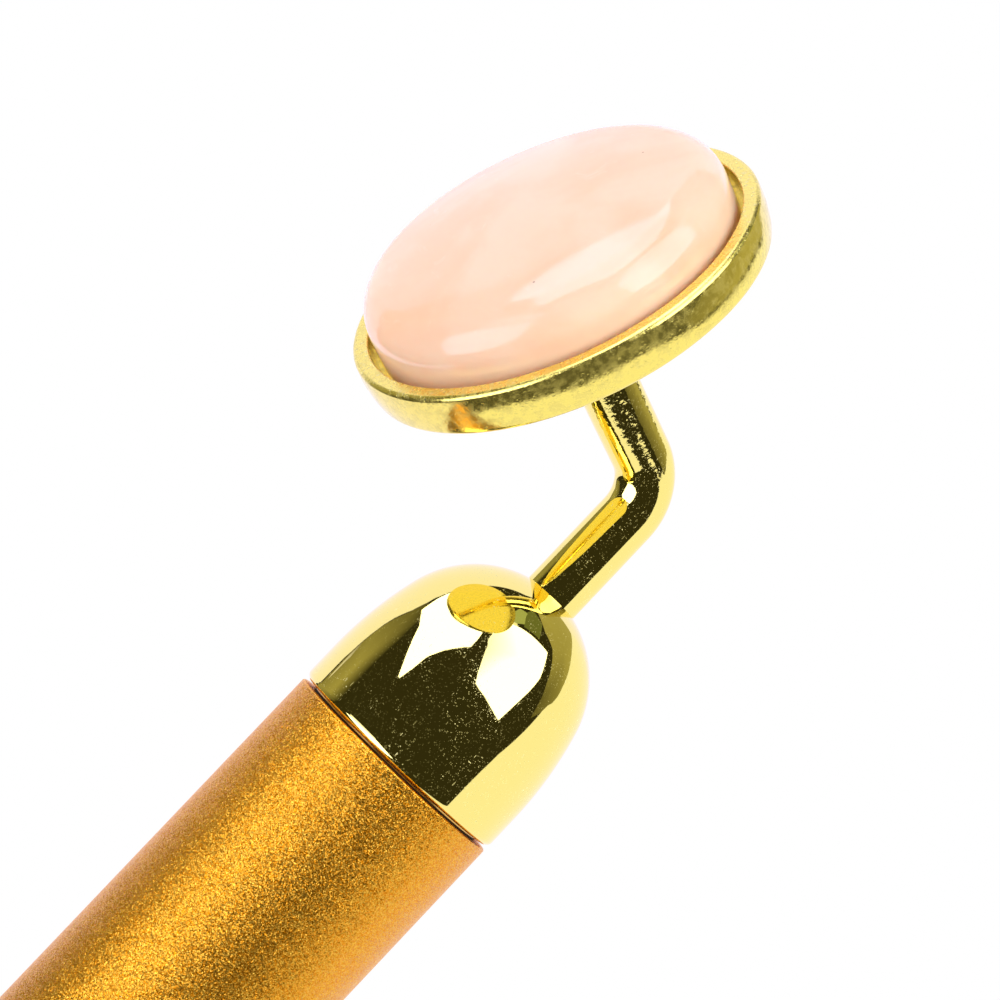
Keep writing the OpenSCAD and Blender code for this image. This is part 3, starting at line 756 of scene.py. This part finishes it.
class MakeStem(bpy.types.Operator):
    """Bends the round gold stem, with a tenon at each end"""

    bl_idname = "beauty_bar.make_stem"
    bl_label = "Stem"

    def execute(self, context):
        size, head = settings(context).stem, settings(context).head
        lean, across, start, place = bend_frame(size, head)
        foot, out = place.to_translation(), place.to_3x3().col[0]
        low, _ = packed_ends("stem")
        seat = head.base + head.height - size.seat
        broken_edge, shoulder = 0.1 * MM, 0.01 * MM
        rows = 48
        path, radii = [], []

        def row(point, radius):
            path.append(point)
            radii.append(radius)

        row(HANDLE_AXIS * low, size.tenon - broken_edge)
        row(HANDLE_AXIS * (low + broken_edge), size.tenon)
        row(HANDLE_AXIS * (seat - shoulder), size.tenon)
        for k in range(rows):
            row(HANDLE_AXIS * (seat + (start.x - seat) * k / rows), size.radius)
        for k in range(rows + 1):
            a = size.bend * k / rows
            row(start + size.bend_radius * (lean * (1 - math.cos(a)) + HANDLE_AXIS * math.sin(a)),
                size.radius)
        for k in range(1, rows + 1):
            row(foot - out * size.reach * (1 - k / rows), size.radius)
        row(foot + out * shoulder, size.tenon)
        row(foot + out * (settings(context).dish.floor - CLEARANCE), size.tenon)

        def unevenness(i, point):
            if radii[i] < size.radius:
                return 0
            depth, wave = 0.008 * MM, 2.5 * MM
            return depth * (noise.noise(point / wave) - 0.5)

        def peel(finish, spot):
            pitted = 0.1 + finish.height(spot, place).step(-15, -3) * 0.9
            return finish.noise(spot, 2.2) * pitted * 0.022 * MM

        piece("bent_stem", swept(path, radii, across, steps=128, shape=unevenness),
              mirror_gold(settings(context).colours, "stem_gold", peel),
              "head", "stem")
        return {"FINISHED"}


class MakeDish(bpy.types.Operator):
    """Casts the dish that holds the stone"""

    bl_idname = "beauty_bar.make_dish"
    bl_label = "Dish"

    def execute(self, context):
        size, stem = settings(context).dish, settings(context).stem
        *_, place = bend_frame(stem, settings(context).head)
        back, rim = size.back_edge, size.rim_edge
        low = (back, size.radius - size.draft - back)
        high = (size.height - rim, size.radius - size.bulge - rim)
        leaves, side, meets = belly(low, back, high, rim, size.belly)
        inner, inner_edge = size.radius - size.rim, 0.12 * MM
        hole = stem.tenon + CLEARANCE
        outline = [
            (0, hole), *arc(low, back, 180, leaves, 32), *side, *arc(high, rim, meets, 0, 32),
            *arc((size.height - inner_edge, inner + inner_edge), inner_edge, 0, -90, 8),
            (size.floor, inner), (size.floor, hole)]

        def casting(along, out, turn):
            if out < inner:
                return 0
            depth, wave = 0.03 * MM, 3 * MM
            point = Vector((along, out * math.cos(turn), out * math.sin(turn)))
            return depth * (noise.noise(point / wave) - 1) / 2

        piece("cast_dish", turned(outline, place, 512, casting),
              cast_gold(settings(context).colours, place), "head", "dish")
        return {"FINISHED"}


class MakeStone(bpy.types.Operator):
    """Grinds and polishes the pink stone"""

    bl_idname = "beauty_bar.make_stone"
    bl_label = "Stone"

    def execute(self, context):
        size = settings(context).dish
        *_, place = bend_frame(settings(context).stem, settings(context).head)
        foot, radius, shoulder, bevel = (size.stone_foot, size.stone_radius, size.shoulder,
                                         0.4 * MM)
        inward, up = radius - shoulder, size.stone_top - size.girdle
        crown = (inward ** 2 + up ** 2 - shoulder ** 2) / (2 * (up - shoulder))
        turn = math.degrees(math.asin(inward / (crown - shoulder)))
        outline = [
            (foot, 0), (foot, radius - bevel), (foot + bevel, radius),
            *arc((size.girdle, inward), shoulder, 90, turn, 48),
            *arc((size.stone_top - crown, 0), crown, turn, 0, 160)[1:]]
        piece("quartz_stone", turned(outline, place, 384),
              rose_quartz(settings(context).colours, place), "head", "stone")
        return {"FINISHED"}


class DressInside(bpy.types.Operator):
    """Gives the cell, the motor and the other inner pieces their finishes"""

    bl_idname = "beauty_bar.dress_inside"
    bl_label = "Inner pieces"

    def execute(self, context):
        dress(worked_metal("nickel", (0.74, 0.73, 0.70), 0.2, depth=0.002),
              "spring_seat", "ground_strap", "stem_nut")
        dress(worked_metal("cell_steel", (0.72, 0.72, 0.72)), "cell_can", "cell_base")
        dress(worked_metal("drawn_steel", (0.70, 0.70, 0.70), grain=5.0, stretch=(1, 4, 4)),
              "motor_can", "motor_shaft")
        dress(worked_metal("sintered_bronze", (0.62, 0.40, 0.22), 0.5, grain=8.0, depth=0.02),
              "motor_bearing")
        dress(worked_metal("stamped_brass", (0.85, 0.66, 0.31)), "motor_tabs", "contact_stud")
        dress(worked_metal("stacked_steel", (0.45, 0.45, 0.46), 0.4, grain=4.0,
                           stretch=(12, 0.2, 0.2), depth=0.02), "armature")
        dress(worked_metal("enamelled_copper", (0.72, 0.33, 0.15), stretch=(1, 6, 6), depth=0.03),
              "windings", "commutator")
        dress(worked_metal("heavy_alloy", (0.50, 0.50, 0.51), 0.45, grain=7.0, depth=0.03),
              "eccentric_weight")
        dress(moulded("cell_film", (0.16, 0.17, 0.18), 0.3), "cell_wrap")
        dress(moulded("pressed_paste", (0.05, 0.05, 0.05), 0.9, grain=3.0, depth=0.05),
              "cell_core")
        dress(moulded("white_nylon", (0.86, 0.85, 0.80), 0.4), "cell_seal")
        dress(moulded("dark_nylon", (0.04, 0.04, 0.045)), "motor_cup", "motor_end_cap")
        dress(moulded("ferrite", (0.10, 0.10, 0.11), 0.6, grain=3.0, depth=0.02),
              "motor_magnets")
        dress(moulded("red_sleeve", (0.60, 0.03, 0.02), 0.4), "feed_wire")
        dress(moulded("clear_adhesive", (0.80, 0.76, 0.66), 0.3, grain=2.0, depth=0.02),
              "stone_pad")
        return {"FINISHED"}


def towards(azimuth, elevation):
    """Direction with this azimuth and elevation, in radians."""
    return Vector((math.cos(azimuth) * math.cos(elevation),
                   math.sin(azimuth) * math.cos(elevation), math.sin(elevation)))


def hide_from(made, *rays):
    """Makes an object invisible to some kinds of rays."""
    for kind in rays:
        setattr(made, f"visible_{kind}", False)


def glow(name, hub, edge, strength, centre, away, tint=(1, 1, 1)):
    """A light surface that reflections see: rays from the centre through the points of edge,
    given as azimuth and elevation in degrees, fanned out from hub. A third number in a point is
    its share of the strength."""
    def ray(azimuth, elevation, share=1.0):
        return towards(math.radians(azimuth), math.radians(elevation)), share

    between = 8
    marks = [ray(*point) for point in edge]
    spots = [ray(*hub)]
    for (here, share), (there, next_share) in zip(marks, marks[1:] + marks[:1]):
        spots += [(here.slerp(there, k / between), share + (next_share - share) * k / between)
                  for k in range(between)]
    last = len(spots) - 1
    mesh = bpy.data.meshes.new(name)
    mesh.from_pydata([tuple(centre + away * direction) for direction, _ in spots], [],
                     [[0, k, k % last + 1] for k in range(1, last + 1)])
    shares = mesh.attributes.new("share", "FLOAT", "POINT")
    shares.data.foreach_set("value", [share for _, share in spots])
    f = Finish(name)
    faded = f.mix(f.add("ShaderNodeAttribute", {"attribute_name": "share"}, output="Fac"),
                  0.0, tint)
    light = f.closed(f.add("ShaderNodeEmission", {}, {"Color": faded, "Strength": strength}))
    light.cycles.emission_sampling = "NONE"
    mesh.materials.append(light)
    made = new_object(name, mesh)
    hide_from(made, "camera", "diffuse", "shadow")
    return made


def soft_light(name, azimuth, elevation, radiance, centre):
    """A round soft light that matt surfaces see and reflections don't."""
    back = towards(math.radians(azimuth), math.radians(elevation))
    width, away = 0.5, 0.6
    data = bpy.data.lights.new(name, "AREA")
    data.shape = "DISK"
    data.size = width
    data.energy = radiance * math.pi * math.pi * (width / 2) ** 2
    made = new_object(name, data)
    made.location = centre + back * away
    made.rotation_mode = "QUATERNION"
    made.rotation_quaternion = back.to_track_quat("Z", "Y")
    hide_from(made, "camera", "glossy")


class MakeStudio(bpy.types.Operator):
    """Sets the floor, the lights and the camera"""

    bl_idname = "beauty_bar.make_studio"
    bl_label = "Studio"

    window = (1.0, 1.04, 1.4)
    white_card = (1.0, 1.0, 1.1)
    bright_floor = (1.0, 0.98, 1.25)
    dim_floor = (1.0, 0.93, 0.45)
    leaf_green = (0.85, 1.0, 0.55)
    dark_green = (0.85, 1.0, 0.4)

    def execute(self, context):
        studio = settings(context).studio
        half_a_dome = 8 * MM
        centre = HANDLE_AXIS * (settings(context).head.base + half_a_dome)
        self.floor_and_backdrop(-settings(context).head.radius)
        self.lights(studio, centre)
        self.room(context, studio)
        self.camera(context, studio)
        return {"FINISHED"}

    def floor_and_backdrop(self, level):
        half, away = 4.0, 5.0
        plain = Finish("pale_floor")
        cloud = plain.noise(plain.millimetres(), 0.002, detail=1.0)
        matt = plain.done(Base_Color=plain.mix(cloud * 0.1, 0.82, 0.78), Roughness=0.9,
                          Specular_IOR_Level=0.0, Emission_Color=1.0, Emission_Strength=0.95)
        matt.cycles.emission_sampling = "NONE"
        mesh = bpy.data.meshes.new("floor")
        mesh.from_pydata([(-half, -half, level), (half, -half, level), (half, half, level),
                          (-half, half, level)], [], [(0, 1, 2, 3)])
        mesh.materials.append(matt)
        floor = new_object("floor", mesh)
        hide_from(floor, "camera", "glossy", "shadow")
        for name, hub in (("backdrop", 90), ("backdrop_below", -90)):
            white = glow(name, (0, hub), [(azimuth, -60) for azimuth in range(0, 360, 15)], 1.0,
                         Vector(), away)
            white.visible_camera = True
            hide_from(white, "glossy", "transmission")

    def lights(self, studio, centre):
        close, near, far = 0.3, 0.9, 0.95
        before_far = far * 0.99
        glow("key_box", (-5, 45),
             [(16, 19), (8, 18.5), (-2, 18), (-13, 17), (-24, 15), (-31, 25), (-40, 34),
              (-50, 45), (-54, 52), (-60, 58), (-52, 63), (-37, 68), (-9, 71), (14, 70),
              (29, 67), (35, 62, 0.8), (38, 56, 0.6), (40, 50, 0.5), (38, 41, 0.5),
              (31, 32, 0.6), (24, 25, 0.8)],
             studio.key, centre, near, self.window)
        glow("side_box_1", (58, 5),
             [(46, 36), (53, 42), (60, 37), (67, 31), (74, 25.5), (80, 25), (85, 23), (85, 21),
              (82, 15), (78, 5), (74, -6), (72, -21), (58, -22), (46, -23), (40, -5),
              (34, 20)], studio.side, centre, near, self.window)
        glow("side_box_2", (136, 22),
             [(119, 2), (113, 12), (111, 26), (114, 47), (135, 50), (159, 45), (165, 20),
              (160, 2), (140, 0)], studio.side, centre, near, self.window)
        glow("side_card", (101, 30),
             [(97, 12), (95, 24), (96, 36), (99, 46), (111, 46), (108, 26), (110, 12)],
             studio.side * 0.5, centre, near, self.window)
        glow("small_card", (18, 15), [(9, 19), (13, 10), (17, 2), (21, 11), (27, 21)],
             studio.card, centre, far)
        glow("white_card", (-105, 0),
             [(-165, -30), (-166, 5), (-160, 18), (-150, 27), (-140, 33), (-125, 38),
              (-110, 42), (-97, 43), (-88, 42), (-81, 39.5), (-77, 36), (-72, 31), (-68, 27),
              (-66, 25), (-63, 18), (-58, 12), (-52, 6), (-47, -1), (-43, -7), (-39, -14),
              (-36, -21), (-32, -34), (-60, -50), (-105, -60), (-140, -50)],
             studio.card, centre, close, self.white_card)
        glow("floor_glow", (0, -90),
             [(-180, -3), (-150, -3), (-120, -3), (-90, -3), (-62, -3), (-50, -30), (-32, -33),
              (-10, -31), (5, -25), (35, -24), (55, -23), (65, -23.5), (70, -25), (74, -29),
              (78, -36), (81, -39), (86, -41.5), (91, -43), (93, -44.5), (100, -46),
              (120, -49), (150, -60), (165, -48), (175, -30)],
             studio.card, centre, far, self.bright_floor)
        glow("floor_line", (93.3, -36, 0.75),
             [(94.2, -28, 0.2), (93.9, -36, 0.8), (93.4, -40.4, 0.8), (91, -41.0, 0.5),
              (87, -40.6, 0.3), (91, -39.8, 0.5), (92.6, -38.4, 0.8), (92.9, -35, 0.8)],
             studio.card, centre, before_far, self.bright_floor)
        glow("dim_floor_1", (-32, -6, 0.85),
             [(-67, 32, 0.3), (-60, 32, 0.3), (-47, 27, 0.5), (-36, 18, 0.7), (-25, 7, 0.85),
              (-13, 2, 0.9), (-8, -4, 0.9), (-3, -12, 1.0), (-5, -34, 1.0), (-34, -37, 1.0),
              (-38, -20, 1.0), (-46, -6, 0.95), (-55, 7, 0.8), (-66, 19, 0.5)],
             studio.card * 0.42, centre, far, self.dim_floor)
        glow("dim_floor_2", (92, -22, 0.36),
             [(73, -12, 0.06), (80, -8, 0.05), (93, -7.5, 0.04), (105, -10, 0.04),
              (125, -18, 0.1), (150, -38, 0.2), (150, -56, 0.3), (119, -47, 0.3),
              (99, -44, 0.3), (92.5, -42.5, 0.24), (86, -40.8, 0.25), (82, -39, 0.25),
              (78.6, -35.6, 0.2), (74.6, -29, 0.15), (70, -24.5, 0.10)],
             studio.card, centre, far, self.dim_floor)
        glow("green_card", (10, 5),
             [(4, 12), (13, 17), (17, 8), (10, -3), (3, -2)],
             studio.card * 0.45, centre, far, self.leaf_green)
        glow("dark_green_card", (-3, 0),
             [(-12, 14), (4, 15), (6, 0), (0, -10), (-9, -2)],
             studio.card * 0.17, centre, far, self.dark_green)
        soft_light("key_light", -15, 48, studio.matt, centre)
        soft_light("side_light", 100, 35, studio.matt * 0.8, centre)
        soft_light("card_light", -110, 30, studio.matt * 0.8, centre)
        soft_light("top_light", -100, 80, studio.matt * 1.2, centre)

    def room(self, context, studio):
        room = bpy.data.worlds.new("studio_room")
        context.scene.world = room
        room.use_nodes = True
        back = room.node_tree.nodes["Background"]
        back.inputs["Color"].default_value = (*self.dim_floor, 1)
        back.inputs["Strength"].default_value = studio.gloom
        context.scene.view_settings.view_transform = "Standard"
        context.scene.view_settings.look = "None"

    def camera(self, context, studio):
        back = towards(studio.azimuth, studio.elevation)
        level = Vector((0, 0, 1)).cross(back).normalized()
        turn = Matrix.Rotation(studio.roll, 3, back)
        data = bpy.data.cameras.new("camera")
        data.lens = studio.lens
        data.sensor_width = 36
        data.clip_start = 0.01
        data.clip_end = 20
        made = new_object("camera", data)
        made.matrix_world = placed(turn @ level, turn @ back.cross(level), back,
                                   Vector(studio.aim) + back * studio.distance)
        context.scene.camera = made


class BeautyBar(bpy.types.PropertyGroup):
    handle: bpy.props.PointerProperty(type=HandleSizes)
    head: bpy.props.PointerProperty(type=HeadSizes)
    stem: bpy.props.PointerProperty(type=StemSizes)
    dish: bpy.props.PointerProperty(type=DishSizes)
    spring: bpy.props.PointerProperty(type=SpringSizes)
    colours: bpy.props.PointerProperty(type=BarColours)
    studio: bpy.props.PointerProperty(type=StudioSettings)


MAKERS = (MakeStudio, MakeTube, MakeTailCap, MakeSpring, MakeCollar, MakeDome, MakeStem,
          MakeDish, MakeStone, DressInside)


class BeautyBarPanel(bpy.types.Panel):
    """Lists the bar's pieces, in the order in which they are made"""

    bl_idname = "VIEW3D_PT_beauty_bar"
    bl_label = "Beauty bar"
    bl_space_type = "VIEW_3D"
    bl_region_type = "UI"
    bl_category = "Beauty bar"

    def draw(self, context):
        for maker in MAKERS:
            self.layout.operator(maker.bl_idname)


CLASSES = (HandleSizes, HeadSizes, StemSizes, DishSizes, SpringSizes, BarColours,
           StudioSettings, BeautyBar, *MAKERS, BeautyBarPanel)


def register():
    for kind in CLASSES:
        bpy.utils.register_class(kind)
    bpy.types.Scene.beauty_bar = bpy.props.PointerProperty(type=BeautyBar)


def unregister():
    del bpy.types.Scene.beauty_bar
    for kind in reversed(CLASSES):
        bpy.utils.unregister_class(kind)


def main():
    register()
    for maker in MAKERS:
        group, name = maker.bl_idname.split(".")
        getattr(getattr(bpy.ops, group), name)()


if __name__ == "__main__":
    main()
